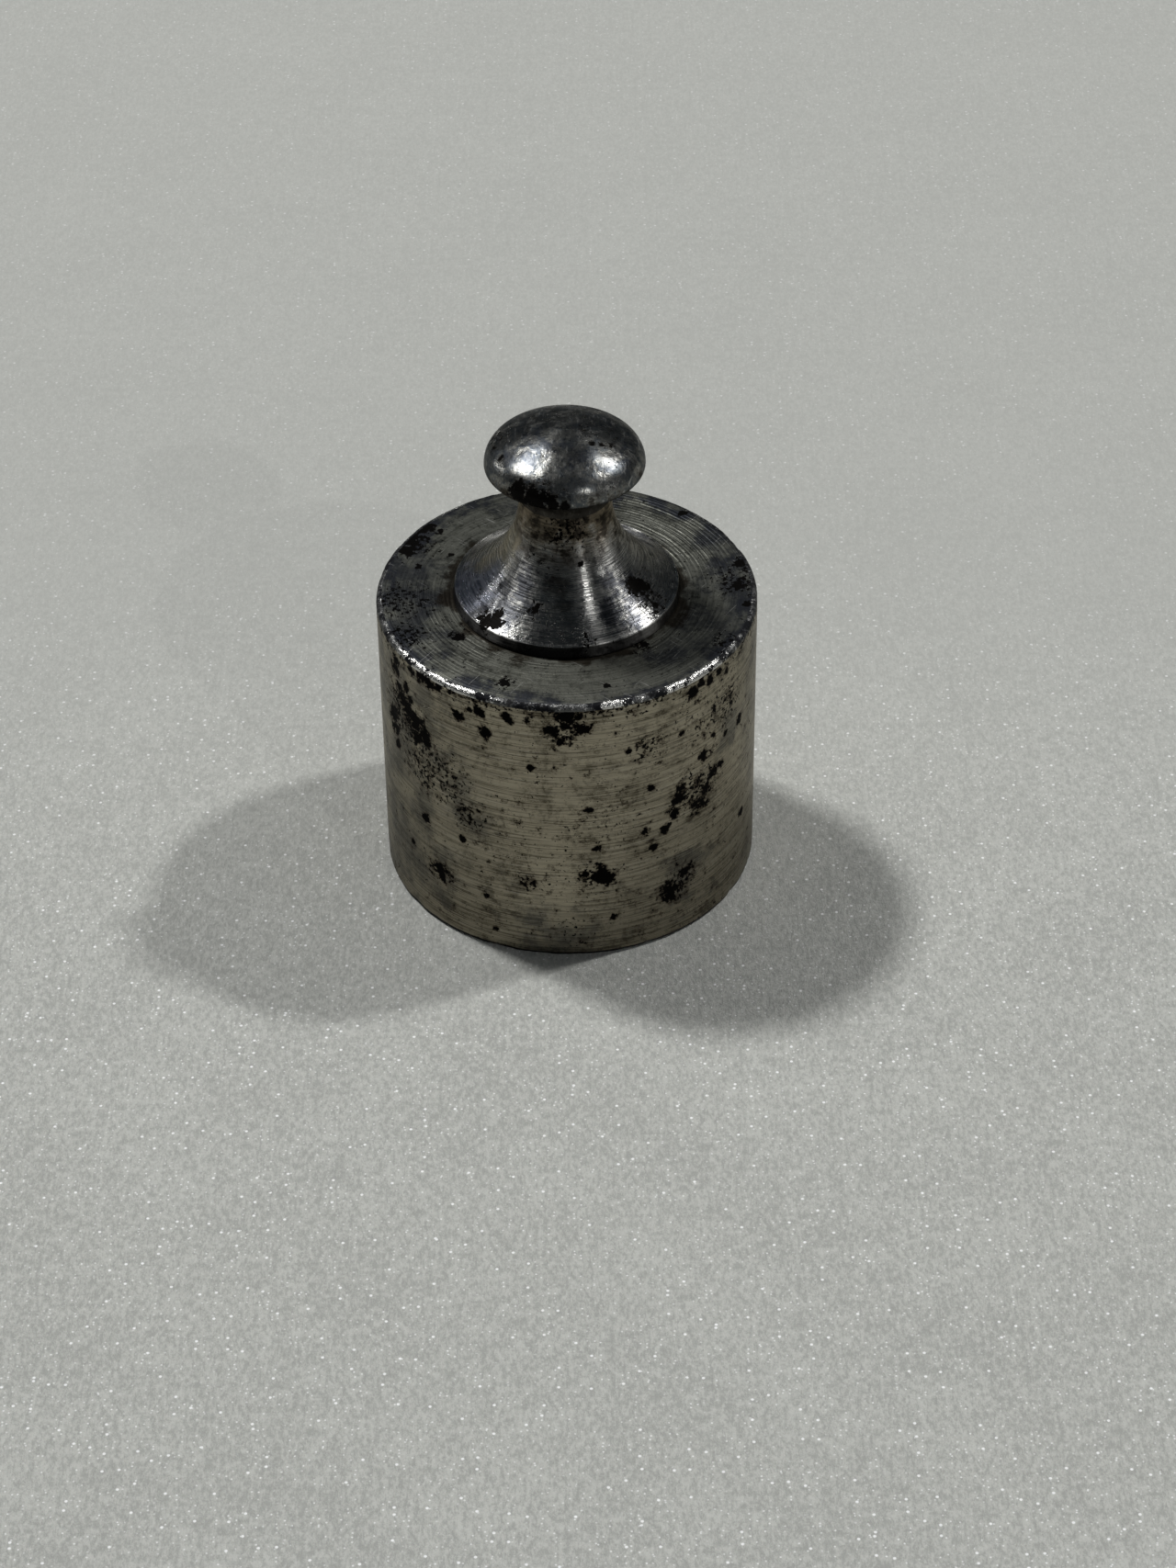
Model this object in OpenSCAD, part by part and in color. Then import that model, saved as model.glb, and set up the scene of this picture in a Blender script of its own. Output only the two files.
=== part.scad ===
// Knob-type scale weight: a turned body, a lifting knob that screws into it,
// and the adjusting shot that the knob shuts into a cavity under its stud.
// The origin is the middle of the flat base, and +Z is the turning axis.

/* [Body] */
// Diameter of the body
body_d = 20.5; // [17:0.1:26]
// Height of the body, from its base to its top face
body_h = 17.1; // [15:0.1:24]
// Chamfer round the top edge
top_chamfer = 0.3; // [0.1:0.05:1]
// Chamfer round the base edge
base_chamfer = 0.25; // [0.1:0.05:1]
// Metal left between the base and the point of the drilled cavity
floor_t = 2.6; // [1:0.1:4]

/* [Knob foot and neck] */
// Diameter of the foot where it meets the body's top face
foot_d = 12.2; // [10:0.1:15]
// How much the foot's wall leans in on each side
foot_taper = 0.08; // [0:0.01:0.3]
// Height of the foot's wall
foot_h = 0.75; // [0.4:0.05:1.5]
// Small chamfer on both edges of the foot's wall
foot_edge = 0.1; // [0.05:0.01:0.15]
// Diameter of the neck at its waist
neck_d = 4.9; // [4:0.1:5.5]
// Straight length of the neck between the flare and the head
neck_straight = 0.15; // [0:0.05:0.8]

/* [Knob head] */
// Diameter of the head
knob_d = 8.5; // [7.5:0.1:10]
// Height of the head's crown above the body's top face
knob_top = 10.55; // [9:0.05:13]
// Height of the crown above the head's widest line
knob_crown = 2.2; // [1.6:0.05:2.5]
// Rounding from the widest line up to the crown
rim_r = 1.45; // [0.9:0.05:1.5]
// Rounding of the lip below the widest line
lip_r = 0.2; // [0.1:0.05:0.6]

/* [Screw] */
// Outer diameter of the thread on the knob's stud
thread_d = 6; // [5:0.5:7]
// Pitch of that thread
thread_pitch = 1; // [0.5:0.05:1.25]
// Gap all round between the stud and its hole
thread_gap = 0.05; // [0.02:0.01:0.1]
// Length of the stud under the foot
stud_l = 7.5; // [5:0.1:8.5]
// Chamfer on the end of the stud
stud_chamfer = 0.5; // [0.2:0.05:0.8]
// Width of the groove that ends the thread under the foot
relief_w = 0.8; // [0.5:0.05:1.5]
// How far the threaded hole runs on past the end of the stud
hole_runout = 1; // [0.5:0.1:2]
// Countersink at the mouth of the hole
mouth_chamfer = 0.35; // [0.1:0.05:0.8]
// Angle of the drill's point
drill_angle = 118; // [90:1:135]

/* [Adjusting shot] */
// Rings of balls that lie in the cavity, six to a ring
shot_rings = 2; // [1:1:2]
// Balls stacked up the middle of the rings
shot_core = 3; // [1:1:3]
// Gap between a ball and its neighbours
shot_gap = 0.02; // [0.01:0.005:0.05]

/* [Hidden] */
$fn = 96;
balls_in_ring = 6;

// Body and cavity
body_r = body_d / 2;
hole_r = thread_d / 2;
cavity_r = (thread_d - thread_pitch) / 2;
point_half = drill_angle / 2;
point_h = cavity_r / tan(point_half);
hole_depth = stud_l + hole_runout;

// Foot, flare and neck, measured up from the body's top face
foot_r = foot_d / 2;
foot_top_r = foot_r - foot_taper;
flare_foot_r = foot_top_r - foot_edge;
neck_r = neck_d / 2;
belly_z = knob_top - knob_crown;
under_z = belly_z - lip_r;
rim_centre_r = knob_d / 2 - rim_r;
lip_centre_r = knob_d / 2 - lip_r;
under_r = lip_centre_r - neck_r;
waist_z = under_z - under_r - neck_straight;

// The flare is one arc, upright at the waist and ending on the foot's top edge
flare_w = flare_foot_r - neck_r;
flare_rise = waist_z - foot_h;
flare_r = (pow(flare_w, 2) + pow(flare_rise, 2)) / (2 * flare_w);

// The crown is one arc that runs on smoothly into the rim's rounding
crown_r = (pow(rim_centre_r, 2) + pow(knob_crown, 2) - pow(rim_r, 2)) / (2 * (knob_crown - rim_r));
crown_centre_z = knob_top - crown_r;
blend_r = rim_centre_r * crown_r / (crown_r - rim_r);

// Stud
stud_r = hole_r - thread_gap;
relief_r = cavity_r - thread_gap;

// Shot: six balls round one just fill the cavity from wall to wall
ball_r = cavity_r / 3 - shot_gap;
ball_step = 2 * ball_r + shot_gap;
ring_half_chord = ball_step * sin(90 / balls_in_ring);
ring_step = sqrt(pow(ball_step, 2) - pow(2 * ring_half_chord, 2));
seat_z = floor_t + (ball_r + shot_gap) / sin(point_half);
ring_z = seat_z + ball_step / tan(point_half);

module weight_body() {
    color([0.56, 0.55, 0.52])
    difference() {
        rotate_extrude() turned_outline();
        cavity();
    }
}

module turned_outline() {
    polygon([
        [0, 0],
        [body_r - base_chamfer, 0],
        [body_r, base_chamfer],
        [body_r, body_h - top_chamfer],
        [body_r - top_chamfer, body_h],
        [0, body_h]
    ]);
}

// One drilled hole: pointed, straight for the shot, wider where it is threaded, countersunk
module cavity() {
    translate([0, 0, floor_t]) cylinder(h = point_h, r1 = 0, r2 = cavity_r);
    translate([0, 0, floor_t + point_h]) cylinder(h = body_h - floor_t - point_h, r = cavity_r);
    translate([0, 0, body_h - hole_depth]) cylinder(h = hole_depth, r = hole_r);
    translate([0, 0, body_h - mouth_chamfer])
        cylinder(h = mouth_chamfer, r1 = hole_r, r2 = hole_r + mouth_chamfer);
}

module lifting_knob() {
    color([0.38, 0.40, 0.43])
    translate([0, 0, body_h]) {
        rotate_extrude() knob_outline();
        stud();
    }
}

// Half outline of the knob above the body's top face
module knob_outline() {
    foot_outline();
    flare_outline();
    head_outline();
}

module foot_outline() {
    polygon([
        [0, 0],
        [foot_r - foot_edge, 0],
        [foot_r, foot_edge],
        [foot_top_r, foot_h - foot_edge],
        [flare_foot_r, foot_h],
        [0, foot_h]
    ]);
}

module flare_outline() {
    difference() {
        translate([0, foot_h]) square([flare_foot_r, flare_rise]);
        translate([neck_r + flare_r, waist_z]) circle(r = flare_r);
    }
    translate([0, waist_z]) square([neck_r, under_z - waist_z]);
}

module head_outline() {
    // underside, sweeping from the neck out to the lip
    difference() {
        translate([0, under_z - under_r]) square([lip_centre_r, under_r]);
        translate([lip_centre_r, under_z - under_r]) circle(r = under_r);
    }
    translate([0, under_z]) square([lip_centre_r, lip_r]);
    translate([lip_centre_r, belly_z]) circle(r = lip_r);
    intersection() {
        translate([rim_centre_r, belly_z]) circle(r = rim_r);
        translate([0, belly_z]) square([knob_d, rim_r]);
    }
    intersection() {
        translate([0, crown_centre_z]) circle(r = crown_r);
        translate([0, belly_z]) square([blend_r, knob_crown]);
    }
}

// The stud hangs from the foot: a groove where the thread ends, then the threaded length
module stud() {
    translate([0, 0, -relief_w]) cylinder(h = relief_w, r = relief_r);
    translate([0, 0, stud_chamfer - stud_l]) cylinder(h = stud_l - relief_w - stud_chamfer, r = stud_r);
    translate([0, 0, -stud_l]) cylinder(h = stud_chamfer, r1 = stud_r - stud_chamfer, r2 = stud_r);
}

// Each ring of balls lies in the hollows of the ring below it
module adjusting_shot() {
    color([0.45, 0.46, 0.48]) {
        for (core = [0:shot_core - 1])
            translate([0, 0, seat_z + core * ball_step]) sphere(r = ball_r);
        for (ring = [0:shot_rings - 1])
            for (ball = [0:balls_in_ring - 1])
                rotate([0, 0, (ball + ring / 2) * 360 / balls_in_ring])
                translate([ball_step, 0, ring_z + ring * ring_step]) sphere(r = ball_r);
    }
}

weight_body();
lifting_knob();
adjusting_shot();
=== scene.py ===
"""Knob-type scale weight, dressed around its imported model: turned body, lifting knob and lead shot."""

import math

import bmesh
import bpy
from bpy.props import FloatProperty, FloatVectorProperty, IntProperty, PointerProperty
from mathutils import Matrix, Vector, noise


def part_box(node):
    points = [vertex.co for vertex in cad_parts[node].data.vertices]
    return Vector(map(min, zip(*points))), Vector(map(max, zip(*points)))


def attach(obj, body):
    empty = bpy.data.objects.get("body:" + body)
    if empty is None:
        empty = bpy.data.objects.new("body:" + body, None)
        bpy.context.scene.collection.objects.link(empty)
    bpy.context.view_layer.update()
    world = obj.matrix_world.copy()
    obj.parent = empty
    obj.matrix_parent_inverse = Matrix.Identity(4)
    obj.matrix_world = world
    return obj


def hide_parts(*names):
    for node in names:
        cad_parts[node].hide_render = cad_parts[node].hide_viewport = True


bl_info = {
    "name": "Scale Weight",
    "version": (1, 0, 0),
    "blender": (4, 5, 0),
    "location": "View3D > Sidebar > Scale Weight",
    "description": "Models a plated scale weight with its screw-in knob and adjusting shot",
    "category": "Add Mesh",
}

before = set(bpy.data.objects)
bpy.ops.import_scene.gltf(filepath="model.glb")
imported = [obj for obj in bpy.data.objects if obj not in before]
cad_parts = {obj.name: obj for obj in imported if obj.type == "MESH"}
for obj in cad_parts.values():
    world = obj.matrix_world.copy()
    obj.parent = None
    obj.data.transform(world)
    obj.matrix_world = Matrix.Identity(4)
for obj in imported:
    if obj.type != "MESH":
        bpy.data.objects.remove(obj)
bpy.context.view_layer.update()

MM = 0.001
TURN = 2 * math.pi

# Lowest and highest corners of the frame's solids
BODY_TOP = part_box("weight_body")[1]
KNOB_END, KNOB_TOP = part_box("lifting_knob")

# Their main sizes in millimetres, for the materials and the marks
BODY_RADIUS = BODY_TOP.x / MM
BODY_HEIGHT = BODY_TOP.z / MM
FOOT_RADIUS = KNOB_TOP.x / MM
CROWN_HEIGHT = KNOB_TOP.z / MM

# Height of the narrow band that joins a thread to the turned surface beyond it
LAP = 0.02 * MM
BALLS_IN_RING = 6


# Settings

def length(name, description, default):
    """A length property. Blender keeps it in metres, and its default is given in millimetres."""
    return FloatProperty(
        name=name, description=description, default=default * MM, min=0, unit="LENGTH", precision=5
    )


def angle(name, description, default):
    """An angle property, with its default in degrees."""
    return FloatProperty(name=name, description=description, default=math.radians(default), subtype="ANGLE")


def watts(name, description, default):
    """A lamp's power."""
    return FloatProperty(name=name, description=description, default=default, min=0, unit="POWER")


def colour(name, description, default):
    """A colour property, as linear red, green and blue."""
    return FloatVectorProperty(
        name=name, description=description, default=default, subtype="COLOR", size=3, min=0, max=1
    )


class BodySettings(bpy.types.PropertyGroup):
    """Sizes of the turned body"""

    radius: length("Radius", "Radius of the turned body", BODY_RADIUS)
    height: length("Height", "Height of the body's top face", BODY_HEIGHT)
    top_rounding: length("Top rounding", "Worn chamfer round the top edge", 0.3)
    base_rounding: length("Base rounding", "Worn chamfer round the base edge", 0.25)
    floor: length("Floor", "Metal left under the point of the drilled cavity", 2.6)
    mouth: length("Countersink", "Countersink at the mouth of the threaded hole", 0.35)
    grid: length("Grid", "Longest side of a face along the outline", 0.3)
    steps: IntProperty(name="Steps", description="Faces all round, a multiple of 32", default=256, min=32)


class KnobSettings(bpy.types.PropertyGroup):
    """Sizes of the lifting knob above the body"""

    foot_radius: length("Foot radius", "Radius of the foot where it meets the body", FOOT_RADIUS)
    foot_taper: length("Foot taper", "How much the foot's wall leans in", 0.08)
    foot_height: length("Foot height", "Height of the foot's wall", 0.75)
    foot_edge: length("Foot edge", "Rounding on both edges of the foot's wall", 0.1)
    neck_radius: length("Neck radius", "Radius at the waist", 2.45)
    neck_straight: length("Neck straight", "Straight length between the flare and the head", 0.15)
    head_radius: length("Head radius", "Radius of the head's widest line", 4.25)
    crown: length("Crown", "Height of the crown above the widest line", 2.2)
    rim_rounding: length("Rim rounding", "Rounding from the widest line up to the crown", 1.45)
    lip_rounding: length("Lip rounding", "Rounding of the lip below the widest line", 0.2)
    grid: length("Grid", "Longest side of a face along the outline", 0.14)
    steps: IntProperty(name="Steps", description="Faces all round, a multiple of 32", default=256, min=32)


class ScrewSettings(bpy.types.PropertyGroup):
    """Sizes of the knob's stud and of its hole"""

    radius: length("Hole radius", "Radius of the threaded hole at the bottom of its grooves", 3.0)
    pitch: length("Pitch", "Pitch of the thread", 1.0)
    gap: length("Gap", "Gap between the stud's thread and the hole's", 0.05)
    length: length("Stud length", "Length of the stud under the foot", (BODY_TOP.z - KNOB_END.z) / MM)
    chamfer: length("Stud chamfer", "Chamfer on the end of the stud", 0.5)
    relief: length("Relief", "Width of the groove that ends the thread under the foot", 0.8)
    runout: length("Run-out", "How far the threaded hole runs on past the stud", 1.0)
    drill_angle: angle("Drill angle", "Angle of the drill's point", 118)


class ShotSettings(bpy.types.PropertyGroup):
    """Sizes of the lead shot"""

    gap: length("Gap", "Gap between a ball and its neighbours", 0.02)
    rings: IntProperty(name="Rings", description="Rings of six balls", default=2, min=1)
    core: IntProperty(name="Core", description="Balls stacked up the middle", default=3, min=1)
    dent: length("Dent", "Depth of the flats and dents in the soft lead", 0.03)


class PlatingSettings(bpy.types.PropertyGroup):
    """Colours of the plate, its stains, the brass and the lead"""

    side: colour("Side", "Warm worn plate of the body's side", (0.36, 0.325, 0.245))
    side_dull: colour("Side, dull", "Stained plate of the body's side", (0.078, 0.068, 0.047))
    stain: colour("Stain", "Brown stain round the corrosion", (0.075, 0.058, 0.040))
    top: colour("Top", "Plate of the top face", (0.168, 0.170, 0.146))
    top_dull: colour("Top, dull", "Stained plate of the top face", (0.045, 0.046, 0.038))
    film: colour("Film", "Grey film on the body's side", (0.090, 0.090, 0.082))
    bright: colour("Bright", "Metal that wear keeps bright", (0.62, 0.61, 0.58))
    knob: colour("Knob", "Polished plate of the knob", (0.225, 0.222, 0.205))
    knob_dull: colour("Knob, dull", "Tarnished plate of the knob", (0.068, 0.077, 0.084))
    flare: colour("Flare", "Turned plate of the knob's flare", (0.29, 0.287, 0.270))
    flare_dull: colour("Flare, dull", "Tarnished plate of the knob's flare", (0.155, 0.155, 0.155))
    tarnish: colour("Tarnish", "Blue tarnish on the plate", (0.030, 0.033, 0.042))
    violet: colour("Violet", "Violet tarnish on the knob's flare", (0.34, 0.355, 0.43))
    neck: colour("Neck", "Brown film on the knob's neck", (0.20, 0.165, 0.115))
    # Grime is also painted as shade: round the foot, on the base chamfer and under the head
    grime: colour("Grime", "Brown grime in corners", (0.025, 0.020, 0.014))
    # Corrosion black is also painted as shade on the knob's foot wall
    corrosion: colour("Corrosion", "Black corrosion in the pits", (0.0030, 0.0026, 0.0022))
    brass: colour("Brass", "Bare brass of the screw thread", (0.50, 0.38, 0.17))
    lead: colour("Lead", "Cut lead of the shot", (0.24, 0.245, 0.26))
    bloom: colour("Bloom", "Pale oxide on the lead", (0.36, 0.36, 0.35))


class StudioSettings(bpy.types.PropertyGroup):
    """Floor, lamps and camera"""

    floor: colour("Floor", "Pale floor", (0.450, 0.455, 0.425))
    room: colour("Room", "Dim room that the metal reflects", (0.029, 0.035, 0.041))
    left_lamp: watts("Left lamp", "Main lamp, behind on the left", 6.8)
    right_lamp: watts("Right lamp", "Second lamp, behind on the right", 4.4)
    front_lamp: watts("Front lamp", "Small lamp in front, for the thin streak down the flare", 1.0)
    low_right_lamp: watts("Low right lamp", "Small low lamp, for the glints under the head's rim", 0.15)
    low_left_lamp: watts("Low left lamp", "Small low lamp, for the streak at the flare's left", 0.4)
    lens: FloatProperty(name="Lens", description="Focal length in millimetres", default=88.2, unit="CAMERA")
    tilt: angle("Tilt", "How far the camera looks down", 38.87)
    roll: angle("Roll", "Turn of the camera about its view", -0.68)


# Outlines and meshes

class Outline:
    """Half of a turned section, as points of radius and height that run on from one another."""

    def __init__(self, radius, height, grid):
        self.points = [(radius, height)]
        self.grid = grid

    def line(self, radius, height):
        """Runs straight on to a point."""
        start = Vector(self.points[-1])
        end = Vector((radius, height))
        count = max(1, math.ceil((end - start).length / self.grid))
        self.points += [tuple(start.lerp(end, i / count)) for i in range(1, count + 1)]

    def arc(self, radius, height, centre):
        """Runs on to a point by the shorter way round centre."""
        centre = Vector(centre)
        start = Vector(self.points[-1]) - centre
        end = Vector((radius, height)) - centre
        sweep = math.atan2(start.x * end.y - start.y * end.x, start.dot(end))
        count = max(4, math.ceil(abs(sweep) * start.length / self.grid))
        first = math.atan2(start.y, start.x)
        for i in range(1, count + 1):
            way = first + sweep * i / count
            reach = start.length + (end.length - start.length) * i / count
            self.points.append((centre.x + reach * math.cos(way), centre.y + reach * math.sin(way)))


def chain(bm, points):
    """A chain of edges in the XZ plane."""
    verts = [bm.verts.new((radius, 0, height)) for radius, height in points]
    return verts + [bm.edges.new(pair) for pair in zip(verts, verts[1:])]


def repeat(bm, move, times):
    """Adds a moved copy of everything, and again of the result with twice the move."""
    for _ in range(times):
        made = bmesh.ops.duplicate(bm, geom=bm.verts[:] + bm.edges[:] + bm.faces[:])["geom"]
        verts = [item for item in made if isinstance(item, bmesh.types.BMVert)]
        bmesh.ops.transform(bm, matrix=move, verts=verts)
        move = move @ move


def add_part(bm, part):
    """Closes the seams of a part and adds it to the mesh."""
    bmesh.ops.remove_doubles(part, verts=part.verts[:], dist=0.001 * MM)
    mesh = bpy.data.meshes.new("part")
    part.to_mesh(mesh)
    part.free()
    bm.from_mesh(mesh)
    bpy.data.meshes.remove(mesh)


def turn(bm, points, steps):
    """Turns an outline once round the Z axis: a sixteenth of the way, repeated."""
    part = bmesh.new()
    bmesh.ops.spin(
        part, geom=chain(part, points), cent=(0, 0, 0), axis=(0, 0, 1), dvec=(0, 0, 0),
        angle=TURN / 16, steps=steps // 16, use_merge=False,
    )
    repeat(part, Matrix.Rotation(TURN / 16, 4, "Z"), 4)
    add_part(bm, part)


def thread(bm, inner, outer, pitch, bottom, top, steps):
    """A tube with a helical groove between two radii, cut flat at both ends."""
    flat = pitch / 8
    section = [
        (inner, 0), (inner, flat), (outer, pitch / 2 - flat / 2), (outer, pitch / 2 + flat / 2),
        (inner, pitch - flat), (inner, pitch),
    ]
    start = math.floor(bottom / pitch - 1) * pitch
    turns = (top - start) / pitch + 1
    tube = bmesh.new()
    bmesh.ops.spin(
        tube, geom=chain(tube, [(radius, start + rise) for radius, rise in section]),
        cent=(0, 0, 0), axis=(0, 0, 1), dvec=(0, 0, pitch / steps), angle=TURN, steps=steps, use_merge=False,
    )
    repeat(tube, Matrix.Translation((0, 0, pitch)), math.ceil(math.log2(turns)))
    bmesh.ops.remove_doubles(tube, verts=tube.verts[:], dist=0.001 * MM)
    for height, way in ((bottom, -1), (top, 1)):
        bmesh.ops.bisect_plane(
            tube, geom=tube.verts[:] + tube.edges[:] + tube.faces[:], dist=1e-9,
            plane_co=(0, 0, height), plane_no=(0, 0, way), clear_outer=True,
        )
    add_part(bm, tube)


def keep_radius(bm, limit):
    """Moves each vertex to the radius that limit gives for its own radius and height."""
    for vert in bm.verts:
        radius = vert.co.xy.length
        if radius > 0:
            wanted = limit(radius, vert.co.z)
            vert.co.x *= wanted / radius
            vert.co.y *= wanted / radius


def open_edges(bm, height):
    """Edges on the rim of an opening at that height."""
    close = 0.0005 * MM
    return [
        edge for edge in bm.edges
        if edge.is_boundary and all(abs(vert.co.z - height) < close for vert in edge.verts)
    ]


def join_rims(bm, first, second):
    """Closes the gap between two openings, each given by its height."""
    bmesh.ops.bridge_loops(bm, edges=open_edges(bm, first) + open_edges(bm, second))


def weather(bm, depth):
    """Turns the faces outwards and sinks the surface by depth, which is given for each place."""
    bmesh.ops.recalc_face_normals(bm, faces=bm.faces[:])
    bm.normal_update()
    moves = [vert.normal * -depth(vert.co) for vert in bm.verts]
    for vert, move in zip(bm.verts, moves):
        vert.co += move


def finish_piece(bm, name, node, body, materials, choose=None, sharp=38):
    """Makes the mesh an object that rides on its body and stands for its node.

    choose gives each face's place in the list of materials. Edges sharper than so many degrees stay sharp.
    """
    bmesh.ops.recalc_face_normals(bm, faces=bm.faces[:])
    for face in bm.faces:
        face.smooth = True
        if choose:
            face.material_index = choose(face)
    open_rims = [edge for edge in bm.edges if not edge.is_manifold]
    if open_rims:
        raise RuntimeError(f"{name} has {len(open_rims)} open edges")
    mesh = bpy.data.meshes.new(name)
    bm.to_mesh(mesh)
    bm.free()
    mesh.set_sharp_from_angle(angle=math.radians(sharp))
    for material in materials:
        mesh.materials.append(material)
    piece = bpy.data.objects.new(name, mesh)
    bpy.context.scene.collection.objects.link(piece)
    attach(piece, body)
    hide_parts(node)
    return piece


# Shader arithmetic

class Wire:
    """A node's output that takes part in plain arithmetic."""

    def __init__(self, tree, socket):
        self.tree = tree
        self.socket = socket

    def node(self, kind, choices=None, inputs=None, output=0):
        """Adds any node: its settings first, then the values or links of its sockets."""
        node = self.tree.nodes.new(kind)
        for name, value in (choices or {}).items():
            setattr(node, name, value)
        for name, value in (inputs or {}).items():
            if isinstance(value, Wire):
                self.tree.links.new(value.socket, node.inputs[name])
            else:
                node.inputs[name].default_value = value
        return Wire(self.tree, node.outputs[output] if node.outputs else None)

    def math(self, operation, *others):
        """Adds a Math node that takes this value first."""
        return self.node("ShaderNodeMath", {"operation": operation}, dict(enumerate((self, *others))))

    def __add__(self, other):
        return self.math("ADD", other)

    __radd__ = __add__

    def __mul__(self, other):
        return self.math("MULTIPLY", other)

    __rmul__ = __mul__

    def __sub__(self, other):
        return self.math("SUBTRACT", other)

    def __rsub__(self, other):
        return self.math("MULTIPLY_ADD", -1.0, other)


def fade(wire, start, end):
    """0 at start and 1 at end, with a smooth change between them."""
    return wire.node(
        "ShaderNodeMapRange", {"interpolation_type": "SMOOTHSTEP"},
        {"Value": wire, "From Min": start, "From Max": end},
    )


def most(first, *others):
    """The greatest of some values."""
    for other in others:
        first = first.math("MAXIMUM", other)
    return first


def least(first, *others):
    """The smallest of some values."""
    for other in others:
        first = first.math("MINIMUM", other)
    return first


def mix(factor, first, second):
    """The first colour where factor is 0, and the second where it is 1."""
    first, second = (shade if isinstance(shade, Wire) else (*shade, 1.0) for shade in (first, second))
    return factor.node("ShaderNodeMix", {"data_type": "RGBA"}, {0: factor, 6: first, 7: second}, output=2)


def layered(shade, *layers):
    """A colour with others laid over it in turn, each where its mask is 1."""
    for mask, other in layers:
        shade = mix(mask, shade, other)
    return shade


def stretch(place, x, y, z):
    """Coordinates stretched by a factor along each axis."""
    return place.node("ShaderNodeVectorMath", {"operation": "MULTIPLY"}, {0: place, 1: (x, y, z)})


def grain(place, scale, detail=3.0, rough=0.55):
    """Soft noise between 0 and 1, with so many features to a unit of place."""
    inputs = {"Vector": place, "Scale": scale, "Detail": detail, "Roughness": rough}
    return place.node("ShaderNodeTexNoise", None, inputs)


def scratches(place, azimuth, fineness, reach):
    """Fine straight scratches across the XY plane that all lie at one azimuth."""
    around = {"Vector": place, "Angle": math.radians(azimuth)}
    turned = place.node("ShaderNodeVectorRotate", {"rotation_type": "Z_AXIS"}, around)
    return fade(grain(stretch(turned, fineness, reach, reach), 1.0, 2.0), 0.69, 0.73)


def distance(place, point):
    """How far each place is from a point."""
    return place.node("ShaderNodeVectorMath", {"operation": "DISTANCE"}, {0: place, 1: point}, output=1)


def pits(place, scale, share, size):
    """Scattered round marks: share is how many of the cells hold one, and size its radius in cells."""
    flat = {"voronoi_dimensions": "2D"}
    cells = place.node("ShaderNodeTexVoronoi", flat, {"Vector": place, "Scale": scale})
    shade = place.node("ShaderNodeTexVoronoi", flat, {"Vector": place, "Scale": scale}, output=1)
    chance = shade.node("ShaderNodeSeparateColor", None, {0: shade})
    return fade(cells, size, size * 0.55) * (share - chance).math("GREATER_THAN", 0.0)


def nearness(place, points):
    """How near the closest of some marks is: 1 at its middle, 0 at its rim and below 0 outside it."""
    inside = []
    for size in sorted({own for _, _, _, own in points}):
        gaps = [distance(place, (x, y, z)) for x, y, z, own in points if own == size]
        inside.append(1.0 - least(*gaps) * (1 / size))
    return most(*inside)


class Finish:
    """A material under construction: its coordinates in millimetres and its surface shader."""

    def __init__(self, name):
        self.material = bpy.data.materials.new(name)
        self.material.use_nodes = True
        tree = self.material.node_tree
        tree.nodes.clear()
        coordinates = Wire(tree, None).node("ShaderNodeTexCoord", output=3)
        self.place = stretch(coordinates, 1 / MM, 1 / MM, 1 / MM)
        flat = stretch(self.place, 1, 1, 0)
        self.height = axis(self.place, 2)
        self.radius = flat.node("ShaderNodeVectorMath", {"operation": "LENGTH"}, {0: flat}, output=1)
        self.round = flat.node("ShaderNodeVectorMath", {"operation": "NORMALIZE"}, {0: flat})

    def lines(self, along, fineness, reach, detail=4.0):
        """Turning lines: noise that changes fast along one measure and slowly round the axis."""
        where = self.place.node(
            "ShaderNodeCombineXYZ", None,
            {0: axis(self.round, 0) * reach, 1: axis(self.round, 1) * reach, 2: along * fineness},
        )
        return grain(where, 1.0, detail, 0.65)

    def surface(self, colour, metallic, roughness, bumps, constants):
        """Joins up the shader. The bumps are in millimetres, and the constants go on its own sockets."""
        sockets = {"Base Color": colour, "Metallic": metallic, "Roughness": roughness, **constants}
        normal = {}
        for height in bumps:
            bump = {"Height": height * MM, "Strength": 1.0, "Distance": 1.0, **normal}
            normal = {"Normal": self.place.node("ShaderNodeBump", None, bump)}
        shader = self.place.node("ShaderNodeBsdfPrincipled", None, {**sockets, **normal})
        self.place.node("ShaderNodeOutputMaterial", None, {"Surface": shader})
        return self.material


def axis(vector, number):
    """One coordinate of a vector: 0, 1 or 2 for X, Y or Z."""
    return vector.node("ShaderNodeSeparateXYZ", None, {0: vector}, output=number)


# Marks in millimetres, listed one by one: in front where the real surface has them, and at the back like
# those

def at_azimuth(azimuth, radius, height, size):
    """A mark's middle and size. The azimuth is in degrees: 0 is the right, and -90 the front."""
    around = math.radians(azimuth)
    return (radius * math.cos(around), radius * math.sin(around), height, size)


def on_wall(*marks):
    """Marks on the body's side, each given by its azimuth, height and size."""
    return [at_azimuth(azimuth, BODY_RADIUS, height, size) for azimuth, height, size in marks]


def on_top(*marks):
    """Marks on the body's top face, each given by its azimuth, radius and size."""
    return [at_azimuth(azimuth, radius, BODY_HEIGHT, size) for azimuth, radius, size in marks]


def on_knob(*marks):
    """Marks on the knob, each given by its azimuth, radius, height and size."""
    return [at_azimuth(*mark) for mark in marks]


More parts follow.
